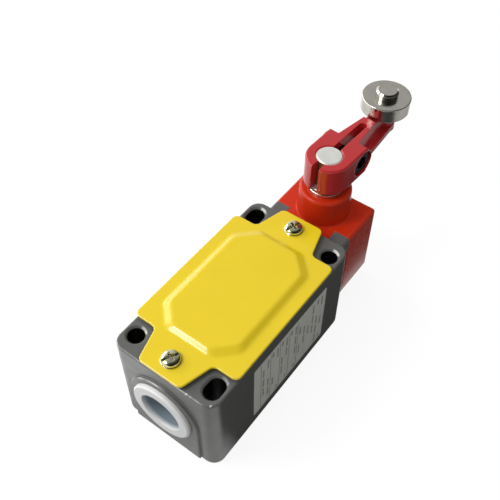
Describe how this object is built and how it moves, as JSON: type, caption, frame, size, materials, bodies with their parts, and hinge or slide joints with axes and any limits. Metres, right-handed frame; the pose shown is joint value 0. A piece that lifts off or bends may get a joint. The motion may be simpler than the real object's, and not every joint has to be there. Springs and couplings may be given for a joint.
{
  "type": "rotary lever limit switch",
  "caption": "Metal-bodied position switch: die-cast housing with a screwed yellow cover, a red indexable head, and a sprung clamp lever with a steel roller.",
  "frame": {"origin": "centre of the four mounting holes, on the flat mounting face at the back of the housing", "axes": "+Z out of the front cover, along the mounting screws and the lever shaft; +Y along the housing towards the operating head; +X across the housing"},
  "size_m": [0.0392, 0.1302, 0.0659],
  "materials": {
    "grey_casting": "semi-gloss grey paint on a die casting",
    "yellow_cover": "semi-gloss yellow powder coat on pressed sheet",
    "black_rubber": "matte nitrile rubber",
    "yellow_zinc": "yellow-passivated zinc plating",
    "white_plug": "translucent natural polyethylene",
    "red_casting": "gloss orange-red paint on a die casting",
    "bright_steel": "turned steel",
    "bush_bronze": "sintered bronze",
    "crimson_casting": "gloss crimson paint on a die casting",
    "black_steel": "black-oxide steel",
    "nickel": "polished nickel plate",
    "black_moulding": "moulded phenolic",
    "ivory_moulding": "moulded polyamide",
    "contact_brass": "stamped brass, silver tips",
    "spring_steel": "drawn spring wire"
  },
  "bodies": {
    "body": {"housing": "grey_casting", "front_cover": "yellow_cover", "cover_gasket": "black_rubber", "cover_screws": "yellow_zinc", "entry_plug": "white_plug", "head": "red_casting", "head_gasket": "black_rubber", "head_screws": "black_steel", "shaft_bush": "bush_bronze", "shaft_seal": "black_rubber", "head_spring": "spring_steel", "return_spring": "spring_steel", "contact_block": "black_moulding", "block_lid": "ivory_moulding", "block_screws": "yellow_zinc", "break_contacts": "contact_brass", "make_contacts": "contact_brass", "terminal_clamps": "yellow_zinc", "terminal_screws": "yellow_zinc", "earth_screw": "yellow_zinc"},
    "lever": {"shaft": "bright_steel", "cam": "bright_steel", "cam_pin": "bright_steel", "lever_spacer": "bright_steel", "lever_arm": "crimson_casting", "clamp_screw": "black_steel", "roller_axle": "nickel", "roller_washer": "bright_steel"},
    "roller": {"roller": "nickel"},
    "plunger": {"push_rod": "bright_steel", "contact_carrier": "ivory_moulding", "bridge_bar": "contact_brass", "contact_spring": "spring_steel"}
  },
  "joints": [
    {"name": "lever_turn", "type": "hinge", "parent": "body", "child": "lever", "pos_m": [0, 0.0502, 0.0188], "axis": [0, 0, 1], "range_deg": [-75, 75], "stiffness_Nm_per_rad": 0.25},
    {"name": "roller_spin", "type": "hinge", "parent": "lever", "child": "roller", "pos_m": [0.00194, 0.08284, 0.06081], "axis": [0, 0, 1], "continuous": true},
    {"name": "plunger_slide", "type": "slide", "parent": "body", "child": "plunger", "axis": [0, -1, 0], "range_m": [0, 0.0018], "stiffness_N_per_m": 1500, "deforming": ["head_spring", "return_spring"]}
  ]
}
